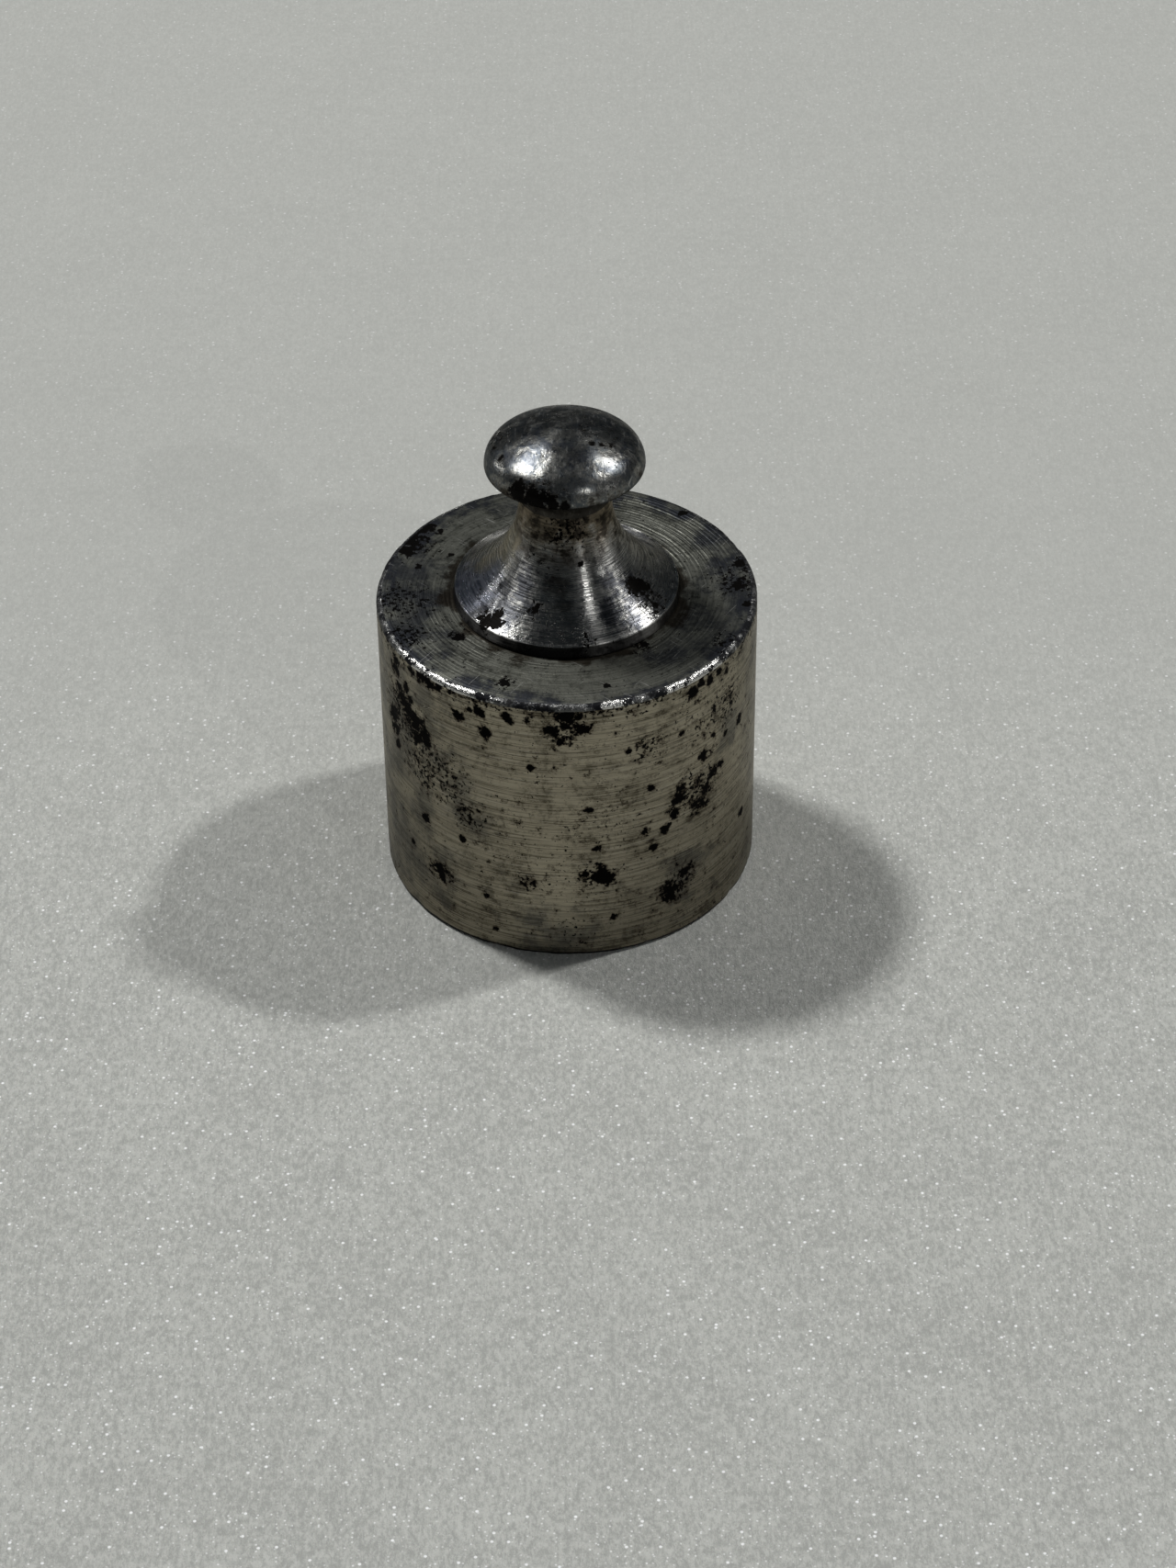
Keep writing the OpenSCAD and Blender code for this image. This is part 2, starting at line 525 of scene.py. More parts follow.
# Corrosion on the side
WALL_MARKS = on_wall(
    # under the top edge, in the middle
    (-95, 15.5, 0.4), (-90, 16.3, 0.6), (-86, 15.7, 0.5), (-92, 14.8, 0.3), (-87, 16.4, 0.4),
    # the broken black band under the left and right runs of the edge
    (-143, 16.5, 0.3), (-139, 16.6, 0.4), (-135, 16.5, 0.4), (-131, 16.6, 0.3), (-127, 16.6, 0.2),
    (-47, 16.5, 0.3), (-43, 16.6, 0.3), (-39, 16.5, 0.2),
    # along the top edge and below it, to the left
    (-124, 15.3, 0.3), (-115, 14.8, 0.4), (-101, 13.0, 0.2), (-117, 16.1, 0.3), (-107, 15.9, 0.2),
    (-102, 16.1, 0.2), (-120, 16.0, 0.2), (-108, 16.2, 0.3),
    # the left cluster: a streak, a band and a patch
    (-152, 16.2, 0.4), (-153, 15.5, 0.5), (-147, 15.0, 0.3), (-144, 14.4, 0.3), (-151, 14.6, 0.4),
    (-149, 14.0, 0.4), (-146, 13.6, 0.7), (-142, 13.2, 0.7), (-138, 12.8, 0.5), (-142, 12.2, 0.5),
    (-137, 12.2, 0.3), (-156, 12.2, 0.6), (-155, 11.3, 0.5), (-154, 10.4, 0.3), (-146, 10.6, 0.2),
    # lower left
    (-139, 7.0, 0.3), (-134, 3.8, 0.7), (-147, 4.4, 0.2), (-118, 9.2, 0.2), (-116, 3.5, 0.2),
    (-121, 8.6, 0.2), (-124, 6.9, 0.2), (-113, 1.3, 0.2),
    # the middle
    (-80, 5.5, 0.7), (-85, 5.8, 0.2), (-82, 7.5, 0.2), (-77, 2.5, 0.2), (-72, 13.8, 0.2), (-84, 10.2, 0.2),
    (-67, 8.0, 0.3), (-65, 10.9, 0.2),
    # the right
    (-54, 10.1, 0.4), (-55, 9.4, 0.5), (-57, 8.7, 0.4), (-46, 8.2, 0.6), (-44, 9.1, 0.5), (-41, 9.9, 0.4),
    (-37, 10.0, 0.3), (-45, 11.5, 0.4), (-60, 7.8, 0.3), (-64, 6.8, 0.2), (-58, 3.2, 0.7), (-52, 4.2, 0.5),
    (-24, 5.0, 0.3), (-27, 11.8, 0.3), (-41, 12.5, 0.2), (-35, 11.9, 0.2), (-54, 13.8, 0.2),
    (-50, 16.2, 0.4), (-43, 16.3, 0.3), (-35, 16.0, 0.2),
    # round the back
    (15, 12.0, 0.5), (40, 5.0, 0.6), (62, 14.8, 0.5), (95, 8.5, 0.4), (120, 3.5, 0.5), (148, 13.5, 0.6),
    (175, 7.0, 0.4), (78, 4.2, 0.2),
)

# Where a grey film dulls the side
WALL_FILM = on_wall(
    (-152, 11.0, 4.5), (-149, 15.5, 3.4), (-142, 9.0, 3.2), (-150, 4.5, 4.0), (-130, 10.0, 2.6),
    (-30, 12.5, 2.0), (-52, 4.0, 2.0), (-95, 1.5, 2.5), (60, 8.0, 4.0), (130, 6.0, 3.5),
)

# Where small specks crowd on the side
WALL_CROWDS = on_wall(
    (-147, 13.0, 3.4), (-135, 10.6, 3.6), (-90, 15.8, 2.0), (-48, 9.5, 2.4), (-55, 3.7, 1.8),
    (-122, 8.6, 1.8), (-103, 5.0, 1.1), (-83, 5.6, 1.4), (-35, 14.0, 2.6), (-66, 13.5, 1.8), (30, 9.0, 3.0),
    (110, 12.0, 3.0), (160, 5.0, 2.4),
)

# Corrosion, blue film with a painted shadow of the knob, and crowded specks on the top face
TOP_MARKS = on_top(
    (-145, 7.0, 0.4), (151, 7.2, 0.2), (155, 9.7, 0.7), (149, 9.8, 0.7), (143, 9.9, 0.7), (-112, 8.7, 0.4),
    (-76, 8.7, 0.2), (48, 9.6, 0.3), (140, 9.0, 0.2), (163, 8.4, 0.2), (2, 9.3, 0.4), (15, 9.7, 0.4),
    (-8, 9.8, 0.3), (-50, 6.4, 0.3), (100, 7.9, 0.3), (80, 9.8, 0.3),
)
TOP_FILM_AND_SHADOW = on_top(
    # the patch at azimuth -42 is a painted shadow of the knob; the others are blue film
    (-178, 9.0, 2.6), (166, 9.2, 2.0), (-160, 9.2, 2.4), (5, 9.3, 2.0), (-20, 9.2, 2.2), (-42, 8.2, 2.0),
    (30, 9.8, 1.4), (100, 9.5, 2.2),
)
TOP_CROWDS = on_top(
    (150, 9.6, 2.2), (-174, 9.0, 2.8), (-155, 9.4, 2.0), (-52, 6.4, 1.2), (5, 9.3, 2.4), (-112, 8.7, 1.0),
    (-30, 9.8, 1.6),
)

# Where the top edge is rubbed bright
EDGE_RUNS = on_wall(
    (-148, 17.0, 0.3), (-140, 17.0, 0.8), (-131, 17.0, 1.8), (-123, 17.0, 1.2), (-77, 17.0, 0.7),
    (-55, 17.0, 0.8), (-48, 17.0, 1.8), (-40, 17.0, 0.8), (40, 17.0, 1.2), (130, 17.0, 0.8),
)

# Corrosion, blue film, bright wear, brown grime, pale plate and crowded specks on the flare
FLARE_MARKS = on_knob(
    (-138, 5.7, 18.0, 0.6), (-134, 5.5, 18.1, 0.6), (-33, 4.3, 19.0, 0.5), (-26, 4.5, 18.9, 0.5),
    (-30, 5.4, 18.1, 0.2), (-112, 4.5, 18.9, 0.2), (-75, 2.9, 20.9, 0.2), (70, 4.6, 18.7, 0.4),
    (140, 3.6, 20.0, 0.3),
)
FLARE_FILM = on_knob(
    (-131, 4.6, 18.7, 1.3), (-126, 3.5, 20.0, 1.1), (45, 5.0, 18.4, 1.6), (-57, 4.8, 18.6, 1.0),
    (-55, 3.6, 19.9, 0.7), (-50, 5.4, 18.1, 0.6), (-33, 4.9, 18.5, 0.9), (-37, 4.0, 19.3, 0.7),
    (-49, 4.3, 19.0, 0.5), (-133, 5.2, 18.3, 0.7), (-140, 4.0, 19.3, 0.8), (28, 4.0, 19.3, 1.2),
)
FLARE_WORN = on_knob(
    (-152, 3.8, 19.6, 0.4), (-153, 4.5, 18.9, 0.4), (-152, 5.2, 18.3, 0.3), (-75, 3.0, 20.7, 0.3),
    (-74, 3.4, 20.1, 0.4), (-74, 3.8, 19.6, 0.4), (-73, 4.2, 19.1, 0.4), (-73, 4.6, 18.7, 0.4),
    (-57, 3.3, 20.3, 0.3), (65, 4.4, 18.9, 0.6),
)
FLARE_GRIME = on_knob((-98, 2.9, 21.0, 1.0), (-97, 3.6, 19.9, 1.0), (-93, 4.3, 19.0, 0.7))
FLARE_PALE = on_knob((-172, 3.2, 20.5, 1.6), (178, 4.1, 19.2, 1.2))
FLARE_CROWDS = on_knob(
    (-28, 5.0, 18.4, 1.6), (-112, 4.5, 18.9, 0.9), (-80, 5.7, 18.0, 0.8), (-90, 2.5, 23.0, 2.0),
)

# Corrosion, blue film, bare metal and crowded specks on the head
HEAD_MARKS = on_knob(
    (-39, 1.9, 27.4, 0.2), (-31, 2.3, 27.3, 0.2), (-23, 2.7, 27.2, 0.2), (-157, 3.6, 26.7, 0.2),
    (-124, 4.2, 25.9, 0.7), (-116, 4.2, 25.8, 0.7), (-108, 4.2, 25.7, 0.7), (-99, 4.2, 25.7, 0.5),
    (-91, 4.2, 25.6, 0.3), (-175, 3.7, 26.6, 0.2), (60, 3.4, 26.8, 0.3),
)
HEAD_FILM = on_knob(
    (-112, 1.9, 27.4, 0.9), (-150, 3.2, 26.9, 0.6), (-152, 1.8, 27.4, 0.9), (-25, 3.6, 26.7, 0.8),
    (-75, 2.4, 27.2, 0.8), (-127, 3.3, 26.9, 0.6), (-140, 2.6, 27.2, 0.8), (-52, 3.5, 26.8, 0.4),
)
HEAD_BARE = on_knob((-44, 3.0, 27.0, 0.5), (-136, 3.4, 26.8, 0.3))
HEAD_CROWDS = on_knob((-115, 4.2, 25.8, 1.6), (170, 3.6, 26.7, 1.4), (80, 3.5, 26.7, 1.5))

# Corrosion on the base, as X, Y, height and size
BASE_MARKS = [(3.5, 5.0, 0.0, 0.6), (-6.0, 2.0, 0.0, 0.4), (1.0, -7.5, 0.0, 0.5), (-3.0, -4.0, 0.0, 0.3)]


def ragged(finish, points, *noises):
    """How near the closest mark is, with the rims torn by noises, each given with its share."""
    near = nearness(finish.place, points)
    for cloud, share in noises:
        near = near + (cloud - 0.5) * share
    return near


def crowding(finish, crowds):
    """How thickly corrosion lies: cloudy all over, and about 1 in the middle of a crowd."""
    cloud = (grain(finish.place, 0.32, 2.0) - 0.5) * 1.6
    if not crowds:
        return cloud
    return most(cloud, cloud * 0.6 + fade(nearness(finish.place, crowds), 0.0, 0.8) * 0.9)


def corrosion(finish, own, crowd):
    """Where the plate is eaten away, and the stain round that: the own marks, then specks and blots."""
    specks = grain(finish.place, 5.0, 3.0, 0.6)
    blots = grain(finish.place, 1.7, 5.0, 0.7)
    torn = ragged(finish, own, (blots, 4.5), (specks, 1.4))
    eaten = most(
        fade(torn, 0.0, 0.16),
        fade(specks + crowd * 0.16, 0.66, 0.70),
        fade(blots + crowd * 0.10, 0.66, 0.69),
    )
    stain = most(fade(torn, -0.5, 0.05), fade(blots + crowd * 0.12, 0.56, 0.68))
    return eaten, stain


# Keeps the plate from turning pale at a grazing angle
DIM_RIM = {"Specular IOR Level": 0.15, "Specular Tint": (0.6, 0.6, 0.6, 1.0)}

# Draws the highlights out across the turning lines
TURNED = {**DIM_RIM, "Anisotropic Rotation": 0.25}


# Plating

def side_plate(look):
    """The body's side: fine turning lines, grey film, brown stains, black corrosion and painted shade near
    the base.
    """
    finish = Finish("side plate")
    fine = finish.lines(finish.height, 8.0, 3.0, 2.0)
    hair = finish.lines(finish.height, 16.0, 2.0, 2.0)
    broad = finish.lines(finish.height, 2.2, 2.5, 4.0)
    cloud = grain(finish.place, 0.5, 5.0, 0.62)
    grit = grain(finish.place, 3.2, 4.0, 0.72)
    film = ragged(finish, WALL_FILM, (cloud, 5.0))
    rim = fade(finish.height, BODY_HEIGHT - 1.5, BODY_HEIGHT - 0.2)
    crowd = most(crowding(finish, WALL_CROWDS), rim * 0.85)
    black, stain = corrosion(finish, WALL_MARKS, crowd)
    scored = fade(fine, 0.52, 0.60) * 0.40 + fade(hair, 0.54, 0.62) * 0.40 + fade(broad, 0.50, 0.64) * 0.15
    # Painted shade: the side darkens towards the base, for the shadowed floor it mirrors there
    low = 1.0 - fade(finish.height, 0.0, 6.0)
    gritty = fade(grit + cloud * 0.4, 0.72, 0.80)
    worn = least(scored + fade(cloud, 0.46, 0.62) * 0.25 + gritty * 0.3 + stain * 0.3 + low * 0.25, 1.0)
    colour = layered(
        look.side,
        (worn, look.side_dull),
        (fade(film, -0.4, 1.0) * 0.55, look.film),
        (fade(hair, 0.42, 0.36) * 0.12, look.bright),
        (stain * 0.55, look.stain),
        (black, look.corrosion),
    )
    roughness = 0.35 + stain * 0.1 + black * 0.35
    bumps = [cloud * 0.05 + broad * 0.015, fine * 0.03 + hair * 0.012 - black * 0.03]
    return finish.surface(colour, 1.0 - black * 0.3, roughness, bumps, {**TURNED, "Anisotropic": 0.5})


# Width of the rings that the cutting tool left on the top face, in millimetres
FEED = 0.23


def top_plate(look):
    """The top face: rings, scratches, blue tarnish, a painted knob shadow, and painted shade and grime by the
    foot.

    Under the foot the plate is clean. One sector is cut more deeply, and its rings catch the light.
    """
    finish = Finish("top plate")
    fine = finish.lines(finish.radius, 6.0, 1.2, 2.0)
    hair = finish.lines(finish.radius, 13.0, 2.0, 2.0)
    broad = finish.lines(finish.radius, 1.7, 1.6, 4.0)
    cloud = grain(finish.place, 0.6, 5.0, 0.62)
    crowd = crowding(finish, TOP_CROWDS)
    black, stain = corrosion(finish, TOP_MARKS, crowd)
    grit = grain(finish.place, 4.0, 4.0, 0.72)
    cut = fade(distance(finish.place, (5.5, 6.5, BODY_HEIGHT)), 7.0, 2.0)
    feed = (finish.radius * (TURN / FEED) + cloud * 5.0).math("SINE")
    # Blue film, and one patch of painted shadow from the knob
    film = ragged(finish, TOP_FILM_AND_SHADOW, (cloud, 5.0))
    rim = finish.radius + (cloud - 0.5) * 6.0 + (broad - 0.5) * 3.0
    edge = most(fade(rim, BODY_RADIUS - 1.45, BODY_RADIUS - 0.25), fade(film, -0.4, 0.9) * 0.85)
    # Painted shade with some grime: a dark ring in the corner round the foot
    corner = 1.0 - fade(finish.radius - (cloud - 0.5) * 4.0, FOOT_RADIUS + 0.05, FOOT_RADIUS + 0.65)
    seat = 1.0 - fade(finish.radius + (grit - 0.5), FOOT_RADIUS - 0.5, FOOT_RADIUS - 0.25)
    scratch = most(scratches(finish.place, 35, 9.0, 0.4), scratches(finish.place, -50, 8.0, 0.5))
    scored = fade(fine, 0.52, 0.60) * 0.25 + fade(hair, 0.54, 0.62) * 0.30 + fade(broad, 0.50, 0.64) * 0.25
    gritty = fade(grit + cloud * 0.4, 0.70, 0.80)
    worn = least(scored + fade(cloud, 0.46, 0.62) * 0.3 + gritty * 0.4 + stain * 0.3, 1.0)
    colour = layered(
        look.top,
        (worn, look.top_dull),
        (edge * 0.85, look.tarnish),
        (scratch * 0.3, look.bright),
        (corner * 0.85, look.grime),
        (seat * (1.0 - stain) * 0.8, look.side),
        (black, look.corrosion),
    )
    roughness = 0.46 + stain * 0.1 + black * 0.3
    rings = fine * (cut * 0.03 + 0.02) + hair * 0.012 + feed * (cut * 0.004 + 0.001)
    bumps = [cloud * 0.05 + broad * 0.015, rings - black * 0.03]
    return finish.surface(colour, 1.0 - black * 0.3, roughness, bumps, {**TURNED, "Anisotropic": 0.15})


def edge_plate(look):
    """The worn chamfers: dark with tarnish, bright where they are rubbed, and painted dark round the base as
    contact shade.
    """
    finish = Finish("edge plate")
    runs = grain(finish.place, 0.9, 5.0, 0.7)
    chips = grain(finish.place, 3.5, 4.0, 0.7)
    rubbed = ragged(finish, EDGE_RUNS, (runs, 5.0), (chips, 7.0))
    bare = most(fade(rubbed, 0.0, 0.4), fade(chips, 0.60, 0.66) * 0.7)
    crust = fade(runs + chips * 0.5, 0.80, 0.70) * (1.0 - bare)
    colour = layered(
        look.tarnish,
        (fade(runs, 0.42, 0.56) * 0.45, look.knob),
        (bare, look.bright),
        # Painted shade: the base chamfer is darkened where the weight meets the floor
        (fade(finish.height, 1.0, 0.5) * 0.9, look.grime),
        (crust * 0.8, look.corrosion),
    )
    roughness = 0.36 - bare * 0.10 + crust * 0.2
    return finish.surface(colour, 1.0 - crust * 0.5, roughness, [runs * 0.15 + chips * 0.06], DIM_RIM)


def base_plate(look):
    """The underside: turned rings, rubbed bright where the weight slides."""
    finish = Finish("base plate")
    fine = finish.lines(finish.radius, 5.0, 2.5, 3.0)
    cloud = grain(finish.place, 0.4, 4.0)
    scratch = grain(stretch(finish.place, 0.5, 7.0, 1.0), 1.0, 3.0)
    black, stain = corrosion(finish, BASE_MARKS, crowding(finish, []))
    rubbed = fade(cloud, 0.45, 0.6) * fade(finish.radius, 6.0, 9.0)
    colour = layered(
        look.side,
        (fade(fine, 0.48, 0.62) * 0.6 + stain * 0.4, look.side_dull),
        (rubbed * 0.6, look.bright),
        (black, look.corrosion),
    )
    roughness = 0.36 + fade(scratch, 0.5, 0.7) * 0.15 + black * 0.3
    bumps = [fine * 0.04 + scratch * 0.02 - black * 0.03]
    return finish.surface(colour, 1.0 - black * 0.3, roughness, bumps, {**TURNED, "Anisotropic": 0.4})


def thread_brass(look):
    """Bare brass of the screw, bright on its crests and dark with old oil in its roots."""
    finish = Finish("thread brass")
    cloud = grain(finish.place, 0.8, 4.0)
    fine = finish.lines(finish.height, 14.0, 3.0)
    deep = 1.0 - fade(finish.radius, 2.42, 2.85)
    oily = least(deep * 0.6 + fade(cloud, 0.45, 0.7) * 0.5, 1.0)
    colour = mix(oily, look.brass, look.grime)
    roughness = 0.28 + fine * 0.12 + oily * 0.25
    bumps = [fine * 0.01 + cloud * 0.02]
    return finish.surface(colour, 1.0 - oily * 0.5, roughness, bumps, {"Specular IOR Level": 0.3})


def head_plate(look):
    """The knob's head: polished by fingers, mottled with tarnish, lightly dented and with painted shade
    beneath.
    """
    finish = Finish("head plate")
    mottle = grain(finish.place, 1.1, 6.0, 0.68)
    cloud = grain(finish.place, 0.35, 2.0)
    specks = grain(finish.place, 4.0, 4.0, 0.7)
    scuff = grain(stretch(finish.place, 5.0, 1.0, 3.0), 1.0, 4.0)
    haze = fade(grain(finish.place, 1.5, 5.0, 0.72), 0.50, 0.62)
    black, stain = corrosion(finish, HEAD_MARKS, crowding(finish, HEAD_CROWDS))
    dim = least(fade(mottle, 0.42, 0.58) * 0.8 + fade(specks, 0.50, 0.62) * 0.5, 1.0)
    film = ragged(finish, HEAD_FILM, (mottle, 4.0), (specks, 2.0))
    bare = ragged(finish, HEAD_BARE, (mottle, 4.0), (specks, 2.0))
    # Painted shade: the head is darkened below its widest line, where it faces down
    rim = 1.0 - fade(finish.height + (mottle - 0.5) * 4.0, CROWN_HEIGHT - 2.45, CROWN_HEIGHT - 1.95)
    colour = layered(
        look.knob,
        (dim, look.knob_dull),
        (fade(scuff, 0.58, 0.66) * 0.35, look.bright),
        (stain * 0.6, look.grime),
        (fade(film, -0.2, 0.8) * 0.6, look.tarnish),
        (fade(bare, 0.0, 0.8) * 0.3, look.bright),
        (rim * 0.85, look.grime),
        (black, look.corrosion),
    )
    metallic = 1.0 - most(black * 0.3, haze * (1.0 - rim) * 0.14)
    roughness = 0.26 + fade(mottle, 0.4, 0.65) * 0.10 + rim * 0.1 + black * 0.3
    bumps = [cloud * 0.2 + mottle * 0.03, specks * 0.008 + scuff * 0.006 - black * 0.02]
    coat = {"Coat Weight": 0.05, "Coat Roughness": 0.12, "Specular Tint": (0.4, 0.4, 0.4, 1.0)}
    return finish.surface(colour, metallic, roughness, bumps, {**TURNED, "Anisotropic": 0.4, **coat})


def flare_plate(look):
    """The knob's neck, flare and foot: turned, with blue film, worn streaks, a brown neck and painted shade
    on the foot.
    """
    finish = Finish("flare plate")
    mottle = grain(finish.place, 1.1, 6.0, 0.68)
    cloud = grain(finish.place, 0.35, 2.0)
    sweep = finish.radius - finish.height
    fine = finish.lines(sweep, 5.0, 1.2, 2.0)
    hair = finish.lines(sweep, 12.0, 1.5, 2.0)
    flutes = finish.lines(sweep, 0.15, 7.0, 3.0)
    specks = grain(finish.place, 4.0, 4.0, 0.7)
    haze = fade(grain(finish.place, 1.9, 5.0, 0.75), 0.50, 0.62)
    black, stain = corrosion(finish, FLARE_MARKS, crowding(finish, FLARE_CROWDS))
    scored = fade(fine, 0.52, 0.60) * 0.3 + fade(hair, 0.54, 0.62) * 0.3
    dim = least(fade(mottle, 0.44, 0.60) * 0.5 + fade(specks, 0.52, 0.62) * 0.4 + scored + stain * 0.4, 1.0)
    film = fade(ragged(finish, FLARE_FILM, (mottle, 5.0), (specks, 2.0)), -0.1, 0.7)
    worn = fade(ragged(finish, FLARE_WORN, (mottle, 3.0), (specks, 3.0)), 0.0, 0.5)
    brown = fade(ragged(finish, FLARE_GRIME, (mottle, 3.0)), -0.1, 0.9)
    violet = fade(distance(finish.place, (-5.5, -1.1, 18.1)) + (mottle - 0.5) * 4.0, 3.0, 1.2)
    neck = fade(finish.height + (mottle - 0.5) * 8.0, CROWN_HEIGHT - 7.25, CROWN_HEIGHT - 4.85)
    dirty = mix(fade(mottle, 0.44, 0.60), look.neck, look.grime)
    pale = fade(ragged(finish, FLARE_PALE, (mottle, 3.0)), -0.1, 0.8)
    lip = fade(finish.radius, FOOT_RADIUS - 0.28, FOOT_RADIUS - 0.18) * fade(mottle, 0.56, 0.46)
    # Painted shade: the foot's wall is darkened nearly to black where the knob stands on the body
    foot = 1.0 - fade(finish.height, BODY_HEIGHT + 0.62, BODY_HEIGHT + 0.74)
    colour = layered(
        look.flare,
        (dim, look.flare_dull),
        (film * 0.75, look.tarnish),
        (brown * 0.6, look.grime),
        (worn * 0.7, look.bright),
        (violet * 0.85, look.violet),
        (neck * 0.95, dirty),
        (pale * 0.7, look.side),
        (lip * 0.6, look.bright),
        (foot * 0.9, look.corrosion),
        (black, look.corrosion),
    )
    metallic = 1.0 - most(black * 0.3, haze * (1.0 - foot) * 0.10)
    roughness = 0.20 + fade(hair, 0.44, 0.56) * 0.20 + neck * 0.1 + foot * 0.2 + black * 0.3
    bumps = [cloud * 0.03 + flutes * 0.012, fine * 0.02 + hair * 0.008 + specks * 0.012 - black * 0.03]
    warm = {"Anisotropic": 1.0, "Specular Tint": (0.75, 0.72, 0.65, 1.0)}
    return finish.surface(colour, metallic, roughness, bumps, {**TURNED, **warm})


def shot_lead(look):
    """Cast lead: dull, blotched with pale oxide and pitted."""
    finish = Finish("shot lead")
    bloom = grain(finish.place, 2.2, 4.0)
    pocks = grain(finish.place, 9.0, 3.0)
    chalky = fade(bloom + pocks * 0.3, 0.52, 0.75)
    colour = mix(chalky, look.lead, look.bloom)
    bumps = [bloom * 0.05 + pocks * 0.02]
    return finish.surface(colour, 1.0 - chalky * 0.7, 0.42 + chalky * 0.3, bumps, {})


def floor_paper(studio):
    """Pale matt floor: cloudy and finely grained, with white flecks painted as glints and painted shade at
    the back.
    """
    finish = Finish("floor")
    ribbed = stretch(finish.place, 1.0, 0.5, 1.0)
    fibre = grain(ribbed, 4.0, 4.0, 0.85)
    cloud = grain(ribbed, 1.3, 4.0, 0.75)
    dust = grain(finish.place, 0.12, 3.0)
    # Painted glints: white flecks standing in for the floor's sparkle
    large = pits(finish.place, 1.3, 0.15, 0.13)
    small = pits(finish.place, 3.1, 0.4, 0.2) * (fade(cloud, 0.42, 0.60) * 0.6 + 0.05)
    painted_glints = most(large * 0.9, small)
    # Painted shade: the floor darkens towards the back, and its grain and glints calm there
    calm = fade(axis(finish.place, 1), -12.0, 30.0) * 0.7
    dim = [shade * 0.81 for shade in studio.floor]
    lit = [min(1.0, shade * 1.17) for shade in studio.floor]
    far = [shade * 0.85 for shade in studio.floor]
    white = (0.95, 0.95, 0.95)
    colour = layered(
        dim,
        (fade(fibre * 0.65 + cloud * 0.25 + dust * 0.1, 0.41, 0.59), lit),
        (calm, far),
        (painted_glints * (1.0 - calm), white),
    )
    return finish.surface(colour, 0.0, 0.85 + fibre * 0.1, [fibre * (1.0 - calm) * 0.12], {})


# Pieces

def bore_radius(screw):
    """Radius between the hole's grooves, and of the cavity under them."""
    return screw.radius - screw.pitch / 2


def hole_end(body, screw):
    """Height at which the threaded hole ends."""
    return body.height - screw.length - screw.runout


def body_outline(body, screw):
    """From the middle of the base, round the outside, to the countersink's lower edge."""
    base = body.base_rounding
    top = body.top_rounding
    outline = Outline(0, 0, body.grid)
    outline.line(body.radius - base, 0)
    outline.arc(body.radius, base, (body.radius - base, base))
    outline.line(body.radius, body.height - top)
    outline.arc(body.radius - top, body.height, (body.radius - top, body.height - top))
    outline.line(screw.radius + body.mouth, body.height)
    outline.line(screw.radius + LAP, body.height - body.mouth + LAP)
    return outline.points


def cavity_outline(body, screw):
    """From the end of the thread down to the drill's point."""
    bore = bore_radius(screw)
    point = bore / math.tan(screw.drill_angle / 2)
    outline = Outline(bore, hole_end(body, screw) - LAP, body.grid)
    outline.line(bore, body.floor + point)
    outline.line(0, body.floor)
    return outline.points


def make_body(body, screw):
    """The turned body with its threaded hole and the cavity below that."""
    bm = bmesh.new()
    bottom = hole_end(body, screw)
    mouth = body.height - body.mouth
    thread(bm, bore_radius(screw), screw.radius, screw.pitch, bottom, mouth, body.steps // 2)
    keep_radius(bm, lambda radius, height: max(radius, screw.radius + height - mouth))
    turn(bm, body_outline(body, screw), body.steps)
    turn(bm, cavity_outline(body, screw), body.steps // 2)
    join_rims(bm, mouth, mouth + LAP)
    join_rims(bm, bottom, bottom - LAP)
    return bm


def knob_outline(knob, screw, base):
    """From the top of the crown, down the outside and under the foot, to where the thread starts.

    The arcs run on smoothly from one another, so their radii follow from the sizes.
    """
    top = KNOB_TOP.z
    belly = top - knob.crown
    under = belly - knob.lip_rounding
    rounding = knob.rim_rounding
    rim_centre = knob.head_radius - rounding
    crown = (rim_centre ** 2 + knob.crown ** 2 - rounding ** 2) / (2 * (knob.crown - rounding))
    blend = rim_centre * crown / (crown - rounding)
    blend_height = top - crown + math.sqrt(crown ** 2 - blend ** 2)
    lip_centre = knob.head_radius - knob.lip_rounding
    sweep = lip_centre - knob.neck_radius
    waist = under - sweep - knob.neck_straight
    edge = knob.foot_edge
    foot_top = base + knob.foot_height
    foot_top_radius = knob.foot_radius - knob.foot_taper
    flare_edge = foot_top_radius - edge
    width = flare_edge - knob.neck_radius
    flare = (width ** 2 + (waist - foot_top) ** 2) / (2 * width)
    relief = bore_radius(screw) - screw.gap
    outline = Outline(0, top, knob.grid)
    outline.arc(blend, blend_height, (0, top - crown))
    outline.arc(knob.head_radius, belly, (rim_centre, belly))
    outline.arc(lip_centre, under, (lip_centre, belly))
    outline.arc(knob.neck_radius, under - sweep, (lip_centre, under - sweep))
    outline.line(knob.neck_radius, waist)
    outline.arc(flare_edge, foot_top, (knob.neck_radius + flare, waist))
    outline.arc(foot_top_radius, foot_top - edge, (flare_edge, foot_top - edge))
    outline.line(knob.foot_radius, base + edge)
    outline.arc(knob.foot_radius - edge, base, (knob.foot_radius - edge, base + edge))
    outline.line(relief, base)
    outline.line(relief, base - screw.relief + LAP)
    return outline.points


